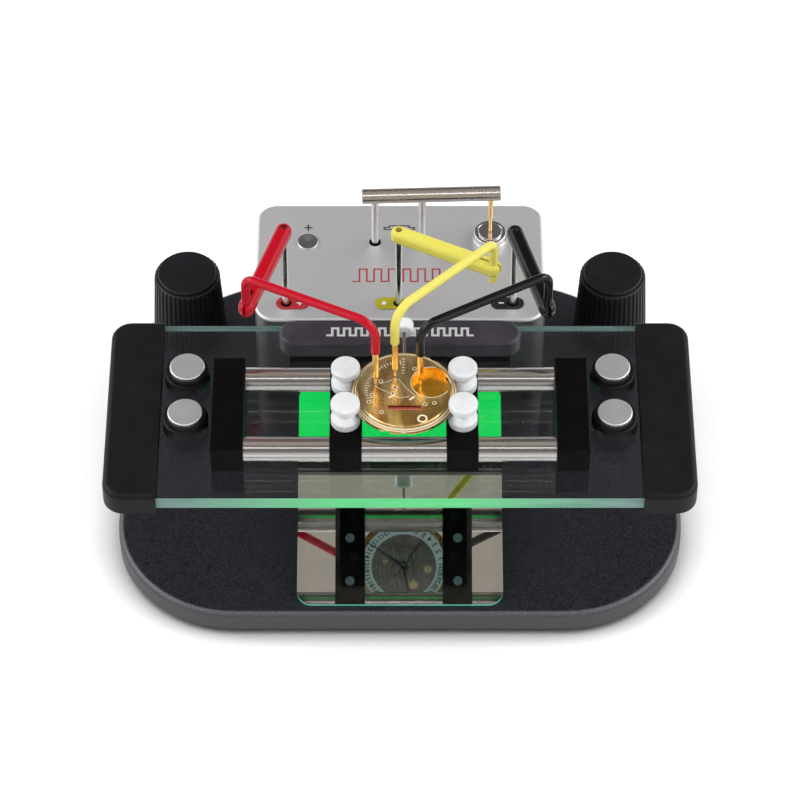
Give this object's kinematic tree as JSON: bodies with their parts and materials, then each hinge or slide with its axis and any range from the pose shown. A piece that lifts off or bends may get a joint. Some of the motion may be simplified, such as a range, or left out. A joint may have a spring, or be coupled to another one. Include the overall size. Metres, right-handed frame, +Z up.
{
  "type": "quartz watch movement test stand",
  "caption": "Bench stand that grips a watch movement over a tilted mirror, with swinging test probes, a glass stage, sliding jaws and a button cell contact.",
  "frame": {"origin": "on the table, under the middle of the stand's bounding box", "axes": "+X to the right as the watchmaker sees it, +Y to the back, +Z up"},
  "size_m": [0.1416, 0.1144, 0.0911],
  "materials": {
    "base_paint": "fine textured charcoal paint",
    "black_plastic": "satin black",
    "black_anodised": "satin black anodised",
    "box_aluminium": "fine brushed",
    "steel": "turned",
    "polished_steel": "polished",
    "black_steel": "black oxide",
    "gold_plate": "gold plated",
    "coil_red": "enamelled wire",
    "red_paint": "gloss red",
    "yellow_paint": "gloss yellow",
    "black_paint": "gloss black",
    "red_sleeve": "gloss red",
    "yellow_sleeve": "gloss yellow",
    "black_sleeve": "gloss black",
    "nylon": "white nylon",
    "clear_glass": "polished",
    "mirror_glass": "polished",
    "green_window": "lit diffuser",
    "board_green": "solder mask",
    "rubber": "matte",
    "brass": "turned",
    "dial_print": "printed ring"
  },
  "bodies": {
    "root": {"base_plate": "base_paint", "front_feet": "rubber", "fixing_screws": "black_steel", "level_bushings": "brass", "instrument_box": "box_aluminium", "circuit_board": "board_green", "rear_socket": "black_plastic", "post_bushings": "black_plastic", "pad_red": "red_paint", "pad_yellow": "yellow_paint", "pad_black": "black_paint", "cell_contacts": "steel", "button_cell": "polished_steel", "glass_plate": "clear_glass", "end_caps": "black_anodised", "magnet_cups": "black_plastic", "magnet_discs": "steel", "clamp_bar": "black_anodised", "support_bracket": "black_anodised", "guide_rods": "polished_steel", "end_blocks": "black_anodised", "mirror_plate": "mirror_glass", "green_window": "green_window", "mirror_carrier": "black_plastic", "led_board": "board_green", "movement_plate": "gold_plate", "movement_bridge": "gold_plate", "movement_coil": "coil_red", "date_ring": "dial_print", "watch_hands": "black_paint", "crown_stem": "nylon"},
    "arm_red": {"post_red": "steel", "arm_red": "red_paint"},
    "probe_red": {"probe_rod_red": "red_sleeve", "probe_barrel_red": "gold_plate"},
    "tip_red": {"probe_tip_red": "gold_plate"},
    "arm_yellow": {"post_yellow": "steel", "arm_yellow": "yellow_paint"},
    "probe_yellow": {"probe_rod_yellow": "yellow_sleeve", "probe_barrel_yellow": "gold_plate"},
    "tip_yellow": {"probe_tip_yellow": "gold_plate"},
    "arm_black": {"post_black": "steel", "arm_black": "black_paint"},
    "probe_black": {"probe_rod_black": "black_sleeve", "probe_barrel_black": "gold_plate"},
    "tip_black": {"probe_tip_black": "gold_plate"},
    "cell_bridge": {"bridge_bar": "steel", "bridge_posts": "steel", "cell_pin_barrel": "gold_plate"},
    "cell_pin": {"cell_pin_tip": "gold_plate"},
    "jaw_left": {"jaw_left": "black_anodised", "spools_left": "nylon", "spool_pins_left": "nylon"},
    "jaw_right": {"jaw_right": "black_anodised", "spools_right": "nylon", "spool_pins_right": "nylon"},
    "knob_left": {"level_knob_left": "black_plastic"},
    "spindle_left": {"level_spindle_left": "steel"},
    "knob_right": {"level_knob_right": "black_plastic"},
    "spindle_right": {"level_spindle_right": "steel"}
  },
  "joints": [
    {"name": "arm_red_swing", "type": "hinge", "parent": "root", "child": "arm_red", "pos_m": [-0.0284, 0.0097, 0.0757], "axis": [0, 0, 1], "range_deg": [-60, 0]},
    {"name": "probe_red_swing", "type": "hinge", "parent": "arm_red", "child": "probe_red", "pos_m": [-0.0368, -0.0153, 0.0757], "axis": [0, 0, 1], "range_deg": [-6, 1]},
    {"name": "tip_red_plunge", "type": "slide", "parent": "probe_red", "child": "tip_red", "axis": [0, 0, 1], "range_m": [0, 0.0015]},
    {"name": "arm_yellow_swing", "type": "hinge", "parent": "root", "child": "arm_yellow", "pos_m": [-0.0003, 0.0097, 0.0757], "axis": [0, 0, 1], "range_deg": [-2, 2]},
    {"name": "probe_yellow_swing", "type": "hinge", "parent": "arm_yellow", "child": "probe_yellow", "pos_m": [0.0226, -0.0014, 0.0757], "axis": [0, 0, 1], "range_deg": [-2, 2]},
    {"name": "tip_yellow_plunge", "type": "slide", "parent": "probe_yellow", "child": "tip_yellow", "axis": [0, 0, 1], "range_m": [0, 0.0015]},
    {"name": "arm_black_swing", "type": "hinge", "parent": "root", "child": "arm_black", "pos_m": [0.0281, 0.0097, 0.0757], "axis": [0, 0, 1], "range_deg": [0, 5]},
    {"name": "probe_black_swing", "type": "hinge", "parent": "arm_black", "child": "probe_black", "pos_m": [0.0354, -0.0151, 0.0757], "axis": [0, 0, 1], "range_deg": [-1, 2]},
    {"name": "tip_black_plunge", "type": "slide", "parent": "probe_black", "child": "tip_black", "axis": [0, 0, 1], "range_m": [0, 0.0015]},
    {"name": "cell_bridge_lift", "type": "slide", "parent": "root", "child": "cell_bridge", "axis": [0, 0, 1], "range_m": [0, 0.006]},
    {"name": "cell_pin_plunge", "type": "slide", "parent": "cell_bridge", "child": "cell_pin", "axis": [0, 0, 1], "range_m": [0, 0.0015]},
    {"name": "jaw_left_slide", "type": "slide", "parent": "root", "child": "jaw_left", "axis": [-1, 0, 0], "range_m": [0, 0.02]},
    {"name": "jaw_right_slide", "type": "slide", "parent": "root", "child": "jaw_right", "axis": [1, 0, 0], "range_m": [0, 0.018]},
    {"name": "knob_left_turn", "type": "hinge", "parent": "root", "child": "knob_left", "pos_m": [-0.055, 0.0386, 0.0207], "axis": [0, 0, 1], "range_deg": [0, 1800]},
    {"name": "spindle_left_travel", "type": "slide", "parent": "root", "child": "spindle_left", "axis": [0, 0, -1], "range_m": [0, 0.004]},
    {"name": "knob_right_turn", "type": "hinge", "parent": "root", "child": "knob_right", "pos_m": [0.055, 0.0386, 0.0207], "axis": [0, 0, 1], "range_deg": [0, 1800]},
    {"name": "spindle_right_travel", "type": "slide", "parent": "root", "child": "spindle_right", "axis": [0, 0, -1], "range_m": [0, 0.004]}
  ],
  "couplings": [
    {"joint": "spindle_left_travel", "follows": "knob_left_turn", "m_per_rad": 0.0001273},
    {"joint": "spindle_right_travel", "follows": "knob_right_turn", "m_per_rad": 0.0001273}
  ]
}
